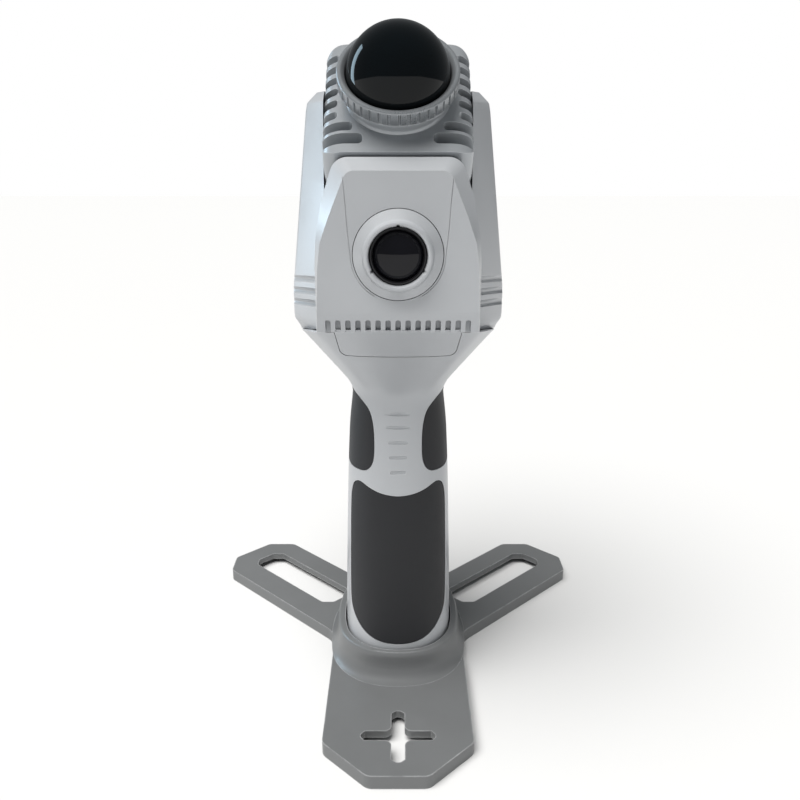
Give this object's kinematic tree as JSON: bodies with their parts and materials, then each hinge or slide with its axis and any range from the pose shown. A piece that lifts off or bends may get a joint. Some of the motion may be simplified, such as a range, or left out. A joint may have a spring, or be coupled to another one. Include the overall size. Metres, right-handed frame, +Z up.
{
  "type": "handheld laser scanner",
  "caption": "Handheld laser scanner with a domed tilted lidar, a front camera and a battery grip, standing in the collar of a three-armed ground base.",
  "frame": {"origin": "on the handle's axis, on the ground under the base plate", "axes": "+Z up, the front with the camera faces -Y, +X to the right as seen from the front"},
  "size_m": [0.2178, 0.2217, 0.3243],
  "materials": {
    "silver": "satin light silver lacquer",
    "grey_metal": "bead-blasted darker grey anodised",
    "rubber": "fine matt charcoal over-mould",
    "soft_black": "matt black silicone",
    "black_plastic": "fine matt black",
    "black_metal": "black anodised",
    "steel": "plain steel",
    "nickel": "plated, plain",
    "cell_wrap": "blue shrink wrap",
    "board": "green solder mask",
    "lens_glass": "coated optical glass",
    "dome_window": "glossy black infrared window",
    "accent": "orange, matt",
    "light_pipe": "clear pale green"
  },
  "bodies": {
    "scanner": {"base_plate": "grey_metal", "base_screw_1": "steel", "base_screw_2": "steel", "base_screw_3": "steel", "base_screw_4": "steel", "battery_cell_1": "cell_wrap", "battery_cell_2": "cell_wrap", "battery_cell_3": "cell_wrap", "battery_cell_4": "cell_wrap", "battery_cradle": "black_plastic", "button_board": "board", "camera_bezel": "silver", "camera_board": "board", "contact_plate_high": "nickel", "contact_plate_low": "nickel", "control_panel": "black_plastic", "dome_gasket": "soft_black", "door_pin": "steel", "fan_frame": "black_plastic", "front_cover": "silver", "front_grip": "rubber", "front_lens": "lens_glass", "handle_front_shell": "silver", "handle_rear_shell": "silver", "head_housing": "silver", "heat_sink": "nickel", "imu_module": "steel", "lens_barrel": "black_metal", "lidar_dome": "dome_window", "lidar_housing": "silver", "lidar_motor": "steel", "lidar_optics": "black_metal", "lidar_ring": "silver", "main_board": "board", "port_pin": "steel", "rear_cover": "grey_metal", "rear_gasket": "soft_black", "rear_lens": "lens_glass", "rear_screw_1": "steel", "rear_screw_2": "steel", "rear_screw_3": "steel", "rear_screw_4": "steel", "side_grip_left": "rubber", "side_grip_right": "rubber", "status_light": "light_pipe", "usb_socket": "board"},
    "lidar_rotor": {"lidar_rotor": "black_metal"},
    "fan_rotor": {"fan_rotor": "black_plastic"},
    "power_button": {"power_button": "accent"},
    "record_button": {"record_button": "black_plastic"},
    "battery_door": {"battery_door": "black_plastic", "rear_grip": "rubber"},
    "door_latch": {"door_latch": "accent"},
    "port_cover": {"port_cover": "soft_black"}
  },
  "joints": [
    {"name": "lidar_spin", "type": "hinge", "parent": "scanner", "child": "lidar_rotor", "pos_m": [0, -0.04, 0.302], "axis": [0, -0.7071, 0.7071], "continuous": true},
    {"name": "fan_spin", "type": "hinge", "parent": "scanner", "child": "fan_rotor", "pos_m": [0, -0.013, 0.216], "axis": [0, 1, 0], "continuous": true},
    {"name": "power_press", "type": "slide", "parent": "scanner", "child": "power_button", "axis": [0, -1, 0], "range_m": [0, 0.001], "stiffness_N_per_m": 1500, "springref_m": -0.0005},
    {"name": "record_press", "type": "slide", "parent": "scanner", "child": "record_button", "axis": [0, -1, 0], "range_m": [0, 0.001], "stiffness_N_per_m": 1500, "springref_m": -0.0005},
    {"name": "door_hinge", "type": "hinge", "parent": "scanner", "child": "battery_door", "pos_m": [0, 0.0408, 0.0324], "axis": [-1, 0, 0], "range_deg": [0, 100]},
    {"name": "latch_slide", "type": "slide", "parent": "battery_door", "child": "door_latch", "axis": [0, 0, -1], "range_m": [0, 0.003], "stiffness_N_per_m": 400, "springref_m": -0.001},
    {"name": "port_hinge", "type": "hinge", "parent": "scanner", "child": "port_cover", "pos_m": [0, 0.0566, 0.2034], "axis": [-1, 0, 0], "range_deg": [0, 110]}
  ]
}
